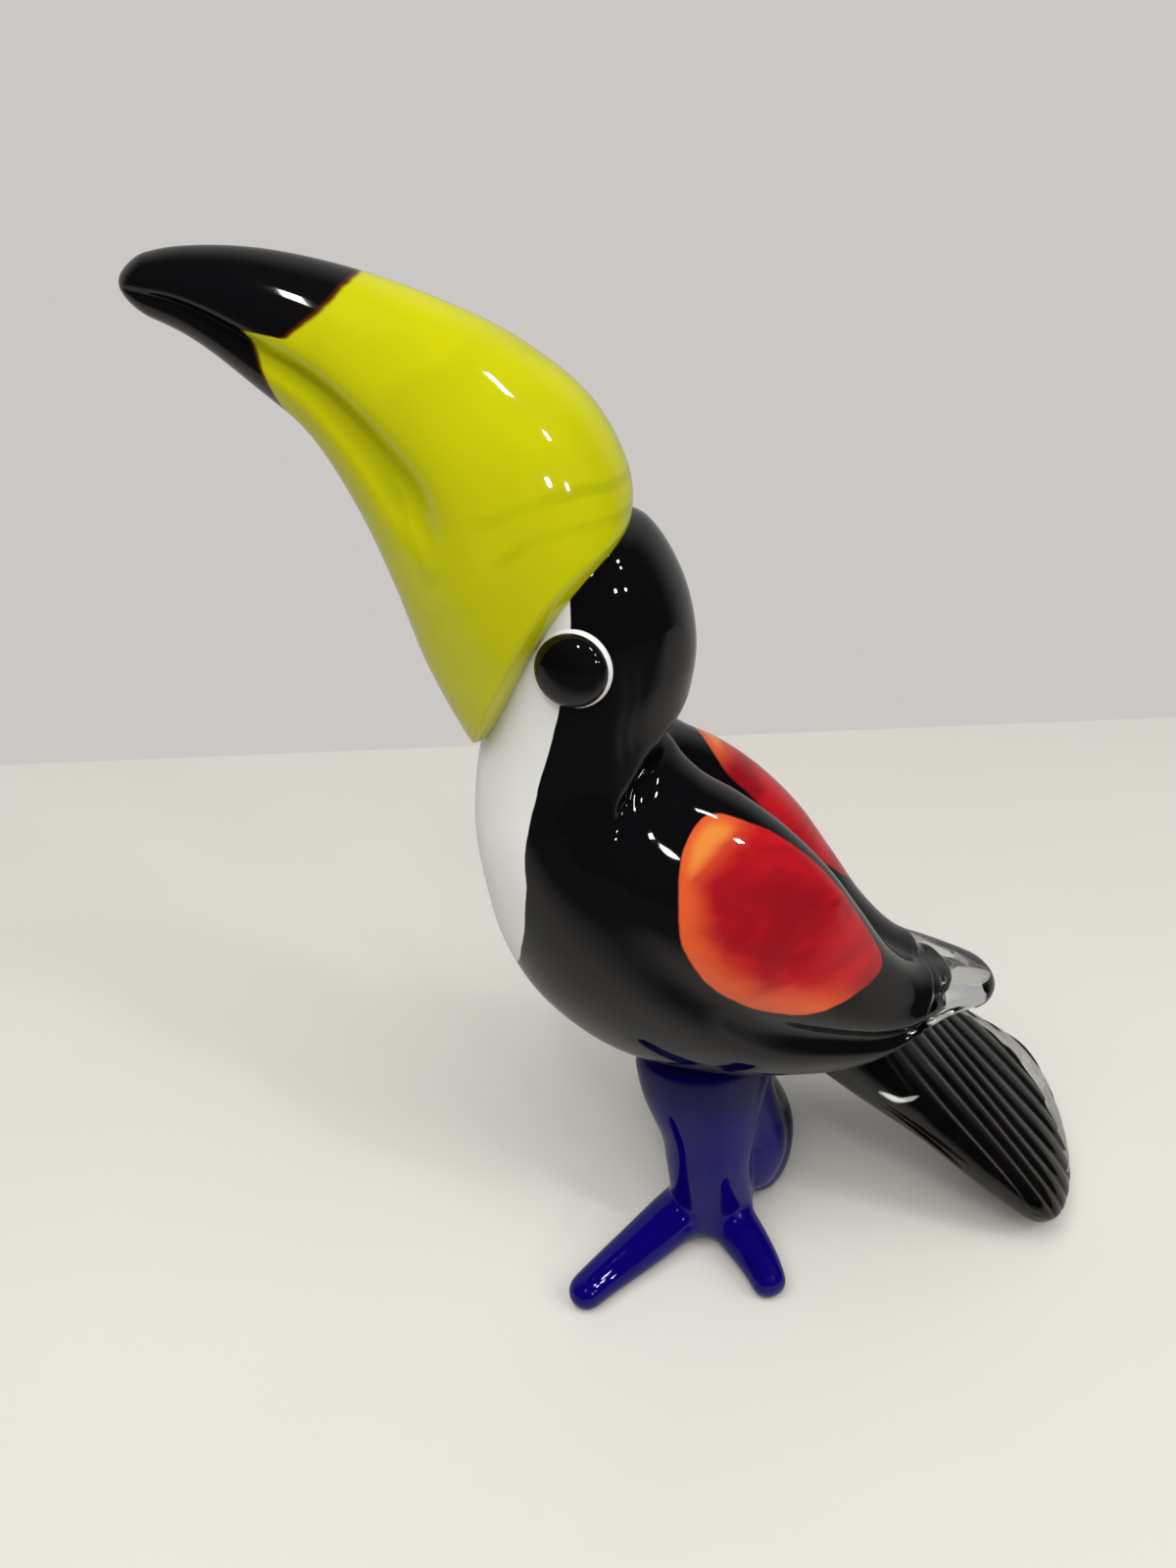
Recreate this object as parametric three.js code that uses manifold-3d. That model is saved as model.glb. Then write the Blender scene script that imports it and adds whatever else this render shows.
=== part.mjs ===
// A standing toucan figurine in hot-worked glass: big curved bill, upright neck, two folded wings
// that run together into a rounded tip, a fanned tail that leans down to the surface, and fused legs.
// Millimetres, +Z up. The bird faces -X, its tail is at +X, its left side is towards -Y.
import * as THREE from "three";
import { mergeVertices } from "three/addons/utils/BufferGeometryUtils.js";
import Module from "manifold-3d";

const wasm = await Module();
wasm.setup();

// Driving sizes
const GAP = 0.3; // clearance between touching pieces
const SHIFT_X = 8.55; // moves the middle of the whole outline to x = 0
const REACH = 400; // larger than the figurine, for the block that trims what is under the surface
const EYE_AT = new THREE.Vector3(-49, -25, 214); // middle of the left eye's disc
const EYE_OUT = new THREE.Vector3(-0.4, -1, 0.1); // the way the left eye looks
const EYE_DISC_R = 10;
const EYE_DISC_H = 3;
const EYE_DOME_R = 9;
const EYE_DOME_H = 4.5;
const EYE_DOME_OUT = 1.6; // how far the dome's middle stands out from the disc's middle
const TAIL_SLOPE = 38; // degrees down from level
const TAIL_ROLL = 20; // degrees, far edge up
const TAIL_END = new THREE.Vector3(132, 0, 4);
const RIBS = 8; // pressed ribs that spread with the fan
const RIB_DEPTH = 0.8;
const SQUARENESS = 0.55; // power of the tail section's curve, less for fuller edges

// Body stations from crown to wing tip: back x, z; front x, z; half width; depth of the cleft
// between the wings; height of the wing ridges; depth and angle of the crease under the wings
const BODY = [
  [-42, 250, -60, 240, 13, 0, 0, 0, 1.6],
  [-28, 243, -66, 224, 22, 0, 0, 0, 1.6],
  [-19, 229, -69, 207, 26, 0, 0, 0, 1.6],
  [-15, 213, -71, 190, 27, 0, 0, 0, 1.6],
  [-16, 199, -74, 172, 27.5, 0, 0, 0, 1.6],
  [-19, 187, -75, 155, 30.5, 3, 0, 0, 1.6],
  [-12, 178.5, -73, 138, 35, 9, 2, 0, 1.6],
  [-0.5, 171.5, -69, 120, 38.5, 12, 3, 0.5, 1.6],
  [12, 161.5, -60, 102, 41, 12.5, 3.5, 2, 1.6],
  [25, 147.5, -43.5, 85.5, 42, 12, 3.5, 3, 1.55],
  [36, 131.5, -22, 75.5, 40, 10, 3, 4, 1.5],
  [47, 115, 4, 72, 36, 6, 2, 4, 1.4],
  [58, 104, 32, 71, 29, 3, 1, 3, 1.35],
  [69, 99.5, 57.5, 83.5, 20.5, 1, 0, 1, 1.3],
  [80, 96, 71.5, 84, 14.2, 0, 0, 0, 1.3],
  [89.8, 91.8, 82, 82.2, 9.4, 0, 0, 0, 1.3],
];
const BODY_ENDS = [0.07, 0.05];
// Crease between neck and shoulders: angle from the back, place along the body, depth
const NECK_CREASE = [
  [0.0, 0.318, 3.0], [0.4, 0.312, 4.5], [0.7, 0.312, 5.0],
  [0.95, 0.322, 4.0], [1.15, 0.342, 2.0], [1.4, 0.37, 0.0],
];

// Bill stations from head to tip: upper x, z; lower x, z; half width; mouth groove depth and angle
const BILL = [
  [-33, 239, -72, 178, 25.5, 0, 1.98],
  [-33, 255, -79, 192, 27, 0, 1.98],
  [-42, 272, -86, 209, 26, 3, 1.98],
  [-58, 285, -92, 229, 23, 6, 1.98],
  [-76, 294, -99, 248, 19, 6, 1.98],
  [-96, 301, -108, 265, 15, 5, 1.95],
  [-115, 305, -119, 276, 11.5, 3.5, 1.9],
  [-132, 305.5, -132, 287, 8.5, 2, 1.8],
  [-145, 303, -146, 294, 6, 0, 1.7],
];
const BILL_ENDS = [0.055, 0.06];
const BILL_SIDE_SWEEP = 0.11; // the bill's rear edge is drawn forward at the cheeks

// Tail stations: along the fan, middle across it, half width, half thickness, lift
const TAIL = [
  [-140, -0.2, 19.7, 11, 2],
  [-110, -0.7, 23.7, 10, 2],
  [-80, -0.2, 27.8, 8.2, 2],
  [-52, -1, 32.5, 7.2, 2],
  [-26, -1.8, 33.8, 6.2, 2],
  [-7, -1.6, 27.2, 5.5, 2],
];
const TAIL_ENDS = [0.1, 0.25];

// Legs and toes: middle x, y, z, half depth and half width
const LIMBS = [
  [[-8, -10, 84, 23, 16], [-7.5, -13, 66, 20.5, 15], [-5.5, -15, 48, 16, 13],
    [-5, -16, 34, 14, 12], [-3.5, -16.5, 20, 13.5, 10.5], [-2, -17, 10, 13, 9.5], [-2, -17, 3, 11, 8]],
  [[2, -9, 13, 9.5, 9.5], [-13, -17.5, 10.8, 9, 8.8], [-28, -27.5, 7.8, 7.8, 7.6],
    [-41, -36.5, 5.9, 6.4, 6.4], [-52, -45, 4.9, 5.3, 5.5]],
  [[-2, -13, 12, 9, 9], [4.5, -25, 9, 8, 7.6], [9.5, -36, 6.3, 6.6, 6.5], [12.2, -47.5, 4.6, 5.2, 5.3]],
  [[0, 10, 84, 19, 14], [-0.5, 10, 63, 13, 13], [4.5, 10, 46, 13.5, 12.5],
    [13, 6, 29, 15, 12.5], [12.5, 2, 15, 15, 12], [9, 1, 4, 12, 10]],
  [[12, 4, 12, 9, 9], [4, 18, 9, 8, 8], [-3, 32, 6.3, 6.8, 6.8], [-9, 47.5, 4.6, 5.3, 5.5]],
  [[13, 4, 12, 9, 9], [19, 18, 9, 7.7, 8], [24, 31, 6.3, 6.5, 6.8], [27, 45, 4.6, 5.2, 5.5]],
];

// Numbers of a station table at t in 0..1, on smooth curves through the stations
function stationAt(rows, t) {
  const n = rows.length - 1;
  const u = Math.min(Math.max(t, 0), 1) * n;
  const i = Math.min(Math.floor(u), n - 1);
  const f = u - i;
  return rows[0].map((_, c) => {
    const b = rows[i][c];
    const d = rows[i + 1][c];
    const a = i > 0 ? rows[i - 1][c] : 2 * b - d;
    const e = i + 2 <= n ? rows[i + 2][c] : 2 * d - b;
    return 0.5 * (2 * b + (d - a) * f + (2 * a - 5 * b + 4 * d - e) * f * f
      + (3 * b - a - 3 * d + e) * f ** 3);
  });
}

const bump = (v, mid, width) => Math.exp(-(((v - mid) / width) ** 2));
const smooth = (a, b, v) => {
  const x = Math.min(Math.max((v - a) / (b - a), 0), 1);
  return x * x * (3 - 2 * x);
};

// Places of the rings along a loft and how much of the full section each keeps at the rounded ends
function ringsOf(count, [startCap, endCap]) {
  const rings = [];
  for (let i = 0; i <= count; i += 1) {
    const phi = (Math.PI * i) / count;
    const t = 0.55 * (i / count) + 0.45 * ((1 - Math.cos(phi)) / 2);
    let keep = 1;
    if (t < startCap) keep = Math.sqrt(Math.max(0, 1 - (1 - t / startCap) ** 2));
    if (t > 1 - endCap) keep = Math.min(keep, Math.sqrt(Math.max(0, 1 - (1 - (1 - t) / endCap) ** 2)));
    rings.push([t, keep]);
  }
  return rings;
}

// A closed skin: a sphere's net of points, each moved to its place on the loft
function skin(pointAt, rings, around, spread = (phi) => phi) {
  const net = new THREE.SphereGeometry(1, around, rings.length - 1);
  const pos = net.getAttribute("position");
  for (let i = 0; i < rings.length; i += 1) {
    for (let j = 0; j <= around; j += 1) {
      const phi = (2 * Math.PI * (j % around)) / around;
      const p = pointAt(rings[i][0], spread(phi), rings[i][1]);
      pos.setXYZ(i * (around + 1) + j, p[0], p[1], p[2]);
    }
  }
  net.deleteAttribute("normal");
  net.deleteAttribute("uv");
  return facingOut(mergeVertices(net, 1e-3));
}

// Faces turned so that they point out of the closed mesh
function facingOut(geometry) {
  const index = geometry.getIndex().array;
  const pos = geometry.getAttribute("position").array;
  const corner = (i) => new THREE.Vector3().fromArray(pos, 3 * index[i]);
  let volume = 0;
  for (let i = 0; i < index.length; i += 3) volume += corner(i).dot(corner(i + 1).cross(corner(i + 2)));
  if (volume < 0) {
    for (let i = 0; i < index.length; i += 3) [index[i + 1], index[i + 2]] = [index[i + 2], index[i + 1]];
  }
  return geometry;
}

function solidOf(geometry) {
  return new wasm.Manifold(new wasm.Mesh({
    numProp: 3,
    vertProperties: new Float32Array(geometry.getAttribute("position").array),
    triVerts: new Uint32Array(geometry.getIndex().array),
  }));
}

// Depth of the neck crease and its place along the body at an angle from the back
function creaseAt(angle) {
  const last = NECK_CREASE[NECK_CREASE.length - 1];
  if (angle >= last[0]) return [last[1], 0];
  const i = NECK_CREASE.findIndex((row) => row[0] > angle);
  const [p, q] = [NECK_CREASE[i - 1], NECK_CREASE[i]];
  const f = (angle - p[0]) / (q[0] - p[0]);
  return [p[1] + f * (q[1] - p[1]), p[2] + f * (q[2] - p[2])];
}

function bodyPoint(t, theta, keep) {
  const [bx, bz, fx, fz, wide, cleft, ridge, crease, creaseAngle] = stationAt(BODY, t);
  const deep = Math.hypot(bx - fx, bz - fz);
  const [ux, uz] = [(bx - fx) / deep, (bz - fz) / deep];
  const [c, s] = [Math.cos(theta), Math.sin(theta)];
  const angle = Math.abs(Math.atan2(s, c));
  const [neckAt, neckDepth] = creaseAt(angle);
  const relief = -cleft * bump(angle, 0, 0.24) + ridge * bump(angle, 0.55, 0.24)
    - crease * bump(angle, creaseAngle, 0.16) - neckDepth * bump(t, neckAt, 0.02);
  const up = keep * (deep / 2 + relief) * c;
  const side = keep * (wide + relief) * s;
  return [(bx + fx) / 2 + ux * up, -side, (bz + fz) / 2 + uz * up];
}

function billPoint(t, theta, keep) {
  const [c, s] = [Math.cos(theta), Math.sin(theta)];
  const along = t + BILL_SIDE_SWEEP * keep * s * s * (1 - smooth(0, 0.5, t));
  const [bx, bz, fx, fz, wide, groove, grooveAngle] = stationAt(BILL, along);
  const deep = Math.hypot(bx - fx, bz - fz);
  const relief = -groove * bump(Math.abs(Math.atan2(s, c)), grooveAngle, 0.22);
  const up = keep * (deep / 2 + relief) * c;
  const side = keep * (wide + relief) * s;
  return [(bx + fx) / 2 + ((bx - fx) / deep) * up, -side, (bz + fz) / 2 + ((bz - fz) / deep) * up];
}

function tailPoint(t, theta, keep) {
  const slope = THREE.MathUtils.degToRad(TAIL_SLOPE);
  const roll = THREE.MathUtils.degToRad(TAIL_ROLL);
  const along = new THREE.Vector3(Math.cos(slope), 0, -Math.sin(slope));
  const face = new THREE.Vector3(Math.sin(slope), 0, Math.cos(slope));
  const across = new THREE.Vector3(0, Math.cos(roll), 0).addScaledVector(face, Math.sin(roll));
  const out = along.clone().cross(across);
  const [a, mid, wide, thick, lift] = stationAt(TAIL, t);
  const [c, s] = [Math.cos(theta), Math.sin(theta)];
  const place = mid - wide * s * keep;
  const rib = c > 0 ? RIB_DEPTH * keep * Math.min(1, 3 * c) * Math.cos(Math.PI * RIBS * s) : 0;
  const height = thick * Math.sign(c) * Math.abs(c) ** SQUARENESS * keep + rib;
  const p = TAIL_END.clone().addScaledVector(along, a).addScaledVector(across, place)
    .addScaledVector(out, height + lift);
  return [p.x, p.y, p.z];
}

function limbPoint(rows, t, theta, keep) {
  const [x, y, z, deep, wide] = stationAt(rows, t);
  const a = stationAt(rows, Math.max(t - 1e-3, 0));
  const b = stationAt(rows, Math.min(t + 1e-3, 1));
  const way = new THREE.Vector3(b[0] - a[0], b[1] - a[1], b[2] - a[2]).normalize();
  const side = way.clone().cross(new THREE.Vector3(0, 1, 0)).normalize();
  const other = side.clone().cross(way);
  const p = new THREE.Vector3(x, y, z).addScaledVector(side, deep * keep * Math.cos(theta))
    .addScaledVector(other, wide * keep * Math.sin(theta));
  return [p.x, p.y, p.z];
}

// The half of space under the resting surface
function underSurface() {
  const box = new THREE.BoxGeometry(REACH, REACH, REACH);
  box.deleteAttribute("normal");
  box.deleteAttribute("uv");
  return solidOf(mergeVertices(box.translate(0, 0, -REACH / 2), 1e-3));
}

// The same skin moved outwards along its normals
function swollen(geometry, by) {
  const out = geometry.clone();
  out.computeVertexNormals();
  const pos = out.getAttribute("position");
  const nor = out.getAttribute("normal");
  for (let i = 0; i < pos.count; i += 1) {
    pos.setXYZ(i, pos.getX(i) + by * nor.getX(i), pos.getY(i) + by * nor.getY(i),
      pos.getZ(i) + by * nor.getZ(i));
  }
  out.deleteAttribute("normal");
  return out;
}

function bodySolid(grow = 0) {
  const geometry = skin(bodyPoint, ringsOf(42, BODY_ENDS), 38, (phi) => phi - 0.3 * Math.sin(phi));
  return solidOf(grow ? swollen(geometry, grow) : geometry);
}

function billSolid() {
  const raw = solidOf(skin(billPoint, ringsOf(26, BILL_ENDS), 28));
  return raw.subtract(bodySolid(GAP));
}

function tailSolid() {
  const spread = (phi) => phi - 0.3 * Math.sin(2 * phi);
  const raw = solidOf(skin(tailPoint, ringsOf(14, TAIL_ENDS), 58, spread));
  return raw.subtract(bodySolid(GAP)).subtract(underSurface());
}

function legsSolid(tail) {
  const limbs = LIMBS.map((rows) => solidOf(skin(
    (t, theta, keep) => limbPoint(rows, t, theta, keep), ringsOf(10, [0.1, 0.1]), 14)));
  const joined = limbs.reduce((sum, limb) => sum.add(limb));
  return joined.subtract(bodySolid(GAP)).subtract(tail.translate([-GAP, 0, -GAP]))
    .subtract(tail).subtract(underSurface());
}

// A flattened ball that looks along a direction
function pill(middle, out, radius, thick) {
  const ball = new THREE.SphereGeometry(1, 18, 8);
  ball.rotateX(Math.PI / 2);
  ball.scale(radius, radius, thick);
  const turn = new THREE.Quaternion().setFromUnitVectors(new THREE.Vector3(0, 0, 1), out);
  ball.applyQuaternion(turn).translate(middle.x, middle.y, middle.z);
  ball.deleteAttribute("normal");
  ball.deleteAttribute("uv");
  return solidOf(mergeVertices(ball, 1e-3));
}

function eyeSolids(side, bill) {
  const out = new THREE.Vector3(EYE_OUT.x, EYE_OUT.y * side, EYE_OUT.z).normalize();
  const middle = new THREE.Vector3(EYE_AT.x, EYE_AT.y * side, EYE_AT.z);
  const raised = middle.clone().addScaledVector(out, EYE_DOME_OUT);
  const white = pill(middle, out, EYE_DISC_R, EYE_DISC_H)
    .subtract(bodySolid(GAP)).subtract(bill);
  const cut = pill(middle, out, EYE_DISC_R + GAP, EYE_DISC_H + GAP);
  const black = pill(raised, out, EYE_DOME_R, EYE_DOME_H).subtract(cut).subtract(bodySolid(GAP));
  return { white, black };
}

// The largest separate body of a solid, so a sliver left by a cut isn't kept
function mainBody(solid) {
  return solid.decompose().reduce((best, one) => (one.volume() > best.volume() ? one : best));
}

function meshOf(name, solid, colour, roughness) {
  const raw = mainBody(solid).translate([SHIFT_X, 0, 0]).getMesh();
  const geometry = new THREE.BufferGeometry();
  const pos = new Float32Array(raw.numVert * 3);
  for (let i = 0; i < raw.numVert; i += 1) {
    for (let c = 0; c < 3; c += 1) pos[3 * i + c] = raw.vertProperties[raw.numProp * i + c];
  }
  geometry.setAttribute("position", new THREE.BufferAttribute(pos, 3));
  geometry.setIndex(new THREE.BufferAttribute(new Uint32Array(raw.triVerts), 1));
  const material = new THREE.MeshStandardMaterial({ color: colour, roughness, metalness: 0 });
  const mesh = new THREE.Mesh(geometry, material);
  mesh.name = name;
  return mesh;
}

const group = new THREE.Group();
group.name = "toucan_figurine";
const bill = billSolid();
const tail = tailSolid();
group.add(meshOf("body", bodySolid(), 0x0b0a0c, 0.05));
group.add(meshOf("bill", bill, 0xd8d400, 0.06));
group.add(meshOf("tail", tail, 0x2a2726, 0.05));
group.add(meshOf("legs", legsSolid(tail), 0x120a8c, 0.05));
for (const [name, side] of [["left", 1], ["right", -1]]) {
  const { white, black } = eyeSolids(side, bill);
  group.add(meshOf(`eye_white_${name}`, white, 0xf2f2ee, 0.08));
  group.add(meshOf(`eye_black_${name}`, black, 0x080808, 0.05));
}

export default group;
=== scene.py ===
import math

import bmesh
import bpy
import numpy as np
from bpy.props import FloatProperty, FloatVectorProperty, PointerProperty
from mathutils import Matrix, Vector


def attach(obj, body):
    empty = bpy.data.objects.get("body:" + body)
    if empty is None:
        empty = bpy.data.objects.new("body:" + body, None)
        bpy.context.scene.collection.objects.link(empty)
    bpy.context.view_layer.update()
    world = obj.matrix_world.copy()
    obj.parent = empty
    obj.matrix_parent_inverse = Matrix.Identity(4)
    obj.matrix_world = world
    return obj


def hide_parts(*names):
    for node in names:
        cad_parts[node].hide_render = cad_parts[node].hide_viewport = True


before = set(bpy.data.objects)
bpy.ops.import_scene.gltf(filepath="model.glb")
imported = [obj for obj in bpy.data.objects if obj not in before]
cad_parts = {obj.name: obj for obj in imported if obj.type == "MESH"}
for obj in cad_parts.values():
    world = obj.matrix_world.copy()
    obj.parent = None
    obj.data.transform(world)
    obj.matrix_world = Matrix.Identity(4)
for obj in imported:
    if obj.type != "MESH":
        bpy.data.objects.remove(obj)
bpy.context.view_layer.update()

bl_info = {
    "name": "Glass toucan figurine",
    "version": (1, 0, 0),
    "blender": (4, 5, 0),
    "location": "3D View > Sidebar > Toucan",
    "description": "Builds a hot-worked glass toucan over its packed frame",
    "category": "Add Mesh",
}

# The lofts are laid out in millimetres, and MM turns them into the frame's metres. A place along a
# loft goes from 0 to 1, an angle round it is in radians from the back or the top, and a pair of
# numbers for a fade gives where it is nothing and where it is full.
MM = 0.001
SHIFT_X = 8.55  # the row's origin is under the middle of the whole outline
EVEN_RINGS = 0.55  # share of a loft's rings that is spread evenly, and the rest crowds at its ends
NUDGE = 0.001  # step along a limb for finding its direction
TINY = 1e-12  # keeps a division from meeting zero

# Body stations from crown to wing tip: back x, z; front x, z; half width; depth of the cleft
# between the wings; height of the wing ridges; depth and angle of the crease under the wings
BODY = [
    (-42, 250, -60, 240, 13, 0, 0, 0, 1.6),
    (-28, 243, -66, 224, 22, 0, 0, 0, 1.6),
    (-19, 229, -69, 207, 26, 0, 0, 0, 1.6),
    (-15, 213, -71, 190, 27, 0, 0, 0, 1.6),
    (-16, 199, -74, 172, 27.5, 0, 0, 0, 1.6),
    (-19, 187, -75, 155, 30.5, 3, 0, 0, 1.6),
    (-12, 178.5, -73, 138, 35, 9, 2, 0, 1.6),
    (-0.5, 171.5, -69, 120, 38.5, 12, 3, 0.5, 1.6),
    (12, 161.5, -60, 102, 41, 12.5, 3.5, 2, 1.6),
    (25, 147.5, -43.5, 85.5, 42, 12, 3.5, 3, 1.55),
    (36, 131.5, -22, 75.5, 40, 10, 3, 4, 1.5),
    (47, 115, 4, 72, 36, 6, 2, 4, 1.4),
    (58, 104, 32, 71, 29, 3, 1, 3, 1.35),
    (69, 99.5, 57.5, 83.5, 20.5, 1, 0, 1, 1.3),
    (80, 96, 71.5, 84, 14.2, 0, 0, 0, 1.3),
    (89.8, 91.8, 82, 82.2, 9.4, 0, 0, 0, 1.3),
]
BODY_ENDS = (0.07, 0.05)  # share of the length that each rounded end takes
CLEFT_WIDTH = 0.24
RIDGE_ANGLE = 0.55
RIDGE_WIDTH = 0.24
WING_CREASE_WIDTH = 0.16
# Crease between neck and shoulders: angle from the back, place along the body, depth
NECK_CREASE = [
    (0.0, 0.318, 3.0), (0.4, 0.312, 4.5), (0.7, 0.312, 5.0),
    (0.95, 0.322, 4.0), (1.15, 0.342, 2.0), (1.4, 0.37, 0.0),
]
NECK_CREASE_WIDTH = 0.02  # along the body, where the other widths are angles

# The black core sinks into clear glass at the wing tip
CLEAR_FROM = 0.825  # place along the body where it starts to sink
CORE_END = 0.898  # place along the body where its nose ends
CORE_NOSE = 0.03  # share of the core that its rounded nose takes
CORE_WAIST = 0.45  # share by which it narrows before the nose
CORE_WAIST_FADE = (CLEAR_FROM - 0.004, CLEAR_FROM + 0.04)
# The clear skin starts sunk in the black, rises to its surface and crosses it to stand proud
SKIN_FROM = CLEAR_FROM - 0.09
SKIN_ROOT = 0.2  # share of the skin that its rounded start takes
SKIN_SUNK = 1.2  # millimetres, as the next is
SKIN_RISE = (CLEAR_FROM - 0.06, CLEAR_FROM - 0.02)
SKIN_PROUD = 0.05
SKIN_CROSSING = (CLEAR_FROM - 0.02, CLEAR_FROM + 0.014)

# Edges of the coloured glass on the body: place along it, angle from the back
BIB_EDGE = [(0.02, 1.62), (0.11, 1.78), (0.2, 1.97), (0.3, 2.09), (0.38, 2.22), (0.44, 2.44),
            (0.482, 2.75), (0.49, 3.2)]
BIB_CORNERS = [(0.5, 6.0), (-0.8, 6.0), (-0.8, 1.62)]  # close the bib's outline far from the edge
BIB_STEPS = 60  # steps of the smooth curve through the bib's edge
NEAR_PATCH = [(0.43, 0.72), (0.48, 0.59), (0.57, 0.5), (0.67, 0.51), (0.713, 0.62),
              (0.7, 0.95), (0.66, 1.3), (0.59, 1.49), (0.51, 1.4), (0.44, 1.04)]
FAR_PATCH = [(0.42, 0.5), (0.46, 0.25), (0.53, 0.17), (0.6, 0.17), (0.68, 0.27), (0.713, 0.5),
             (0.7, 0.95), (0.66, 1.3), (0.59, 1.49), (0.51, 1.4), (0.44, 1.04)]
BODY_LENGTH = 260  # millimetres along the body for one unit of its stations
PATCH_RADIUS = 42  # millimetres round the body for one radian of angle, at the wings
BIB_RADIUS = 30  # the same at the breast
# Where a patch turns from red to orange: places along the body at its front, and at its rim the
# angles from the back and the metres inside its edge
PATCH_FRONT = (0.497, 0.447)
PATCH_SIDE = (0.8, 1.25)
PATCH_RIM = (0.0115, 0.0005)
PATCH_GLOW = (0.0005, 0.005)  # metres inside its edge for the yellow orange of the front
PATCH_BLUR = (-0.0003, 0.0004)  # metres inside its edge, where its colour comes in
BIB_BLUR = (-0.00018, 0.00018)

# Bill stations from head to tip: upper x, z; lower x, z; half width; mouth groove depth and angle
BILL = [
    (-33, 239, -72, 178, 25.5, 0, 1.98),
    (-33, 255, -79, 192, 27, 0, 1.98),
    (-42, 272, -86, 209, 26, 3, 1.98),
    (-58, 285, -92, 229, 23, 6, 1.98),
    (-76, 294, -99, 248, 19, 6, 1.98),
    (-96, 301, -108, 265, 15, 5, 1.95),
    (-115, 305, -119, 276, 11.5, 3.5, 1.9),
    (-132, 305.5, -132, 287, 8.5, 2, 1.8),
    (-145, 303, -146, 294, 6, 0, 1.7),
]
BILL_ENDS = (0.055, 0.06)  # as the body's
BILL_SIDE_SWEEP = 0.11  # the bill's rear edge is drawn forward at the cheeks
BILL_SWEEP_END = 0.5  # place along the bill where that has died out
GROOVE_WIDTH = 0.19
GROOVE_FADE = (0.32, 0.46)
BILL_LENGTH = 190  # millimetres along the bill for one unit of its stations, near the tip
BILL_RADIUS = 25  # millimetres round the bill for one radian of angle
# Edge of the black tip: the upper bill's curves back from the top, the lower bill's slants from
# the mouth down, and it steps from one to the other between two angles
TIP_UPPER = 0.612
TIP_UPPER_CURVE = 0.034
TIP_LOWER = 0.76
TIP_LOWER_SLANT = 0.072
TIP_LOWER_FROM = 1.74
TIP_STEP = (1.52, 1.68)
TIP_BROWN = (-0.0012, 0.0004)  # metres past that edge where the brown and the black come in
TIP_BLACK = (0.0001, 0.0016)
# Streaks run round the mouth groove on the lower side and round a middle on the upper side
STREAK_STEP = 0.0085  # metres from one streak to the next
STREAK_MIDDLE = 0.42  # place along the bill that the upper streaks curve round
STREAK_SQUASH = 0.8
STREAK_GROOVE = (0.34, 0.72)  # places along the bill where the lower streaks keep to the groove
STREAK_GROOVE_ANGLE = 1.85  # at the place below, and it falls by the slant towards the tip
STREAK_GROOVE_FROM = 0.3
STREAK_GROOVE_SLANT = 0.9
STREAK_FADE_TIP = (0.52, 0.42)
STREAK_FADE_CHEEK = (0.24, 0.34)
STREAK_FADE_GROOVE = (0.12, 0.32)
STREAK_FADE_UNDER = (2.6, 2.3)
STREAK_FADE_FIRST = (37, 42)  # millimetres from the upper streaks' middle
STREAK_FADE_LAST = (58, 53)

# Left eye
EYE_AT = Vector((-49, -25, 214))
EYE_OUT = Vector((-0.4, -1, 0.1)).normalized()

# Tail stations: along the fan, middle across it, half width, half thickness
TAIL = [
    (-140, -0.2, 19.7, 11),
    (-110, -0.7, 23.7, 10),
    (-80, -0.2, 27.8, 8.2),
    (-52, -1, 32.5, 7.2),
    (-26, -1.8, 33.8, 6.2),
    (-7, -1.6, 27.2, 5.5),
]
TAIL_LIFT = 2  # the stations' middle above the fan's plane
TAIL_ENDS = (0.1, 0.25)  # as the body's
TAIL_SQUARENESS = 0.55  # power of the section's curve, less for fuller edges
TAIL_SLOPE = math.radians(38)
TAIL_ROLL = math.radians(20)
TAIL_END = Vector((132, 0, 4))  # where the fan's middle line ends
# The pressed ribs sweep to the near side along the fan and waver a little
RIB_SWEEP = 0.4  # sideways for each unit along
RIB_SWEEP_FROM = -60  # where the sweep is nothing
RIB_WAVER = 1.3
RIB_WAVER_ALONG = 11  # millimetres along and across the fan for one radian of the waver
RIB_WAVER_ACROSS = 8
RIB_SHARPNESS = 3  # more for narrower grooves
RIB_FADE = (0.1, 0.5)
# Where the black feathers end along the fan, from the near edge to the far edge
FEATHER_ENDS = [(-8.6,), (-8.8,), (-9.2,), (-10,), (-12,), (-16,), (-25,), (-42,)]
FEATHER_ROOT = -128
FEATHER_NOSE = 4  # millimetres that their rounded ends take
FEATHER_SIDES = (0.006, 0.04)  # share of the width that the rounded near and far sides take
FEATHER_NOTCH_FADE = (0.08, 0.25)
FEATHER_TIPS_IN = 5  # millimetres from the fan's far edge to the last feather's tip
FEATHER_RIDGE = 0.7  # height of the feathers' backs, which fade in along the fan
FEATHER_RIDGE_FADE = (-115, -80)
FEATHER_THIN = 0.6  # least half thickness
NEAR_MARGIN = 0.35  # clear glass beside the black, at the fan's near and far edges
FAR_MARGIN = 2.5
FAR_MARGIN_MORE = 2  # added over the stretch between two fades along the fan
FAR_MARGIN_FADES = ((-110, -60), (-6, -30))
FAR_SCALLOP = 1.4
FAR_SCALLOP_FADE = (-100, -80)
CASING_NEAR = 0.25  # share of the casing's thickness at the near edge
CASING_FADE = (0.02, 0.16)  # share of the width over which it comes to the whole
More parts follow.
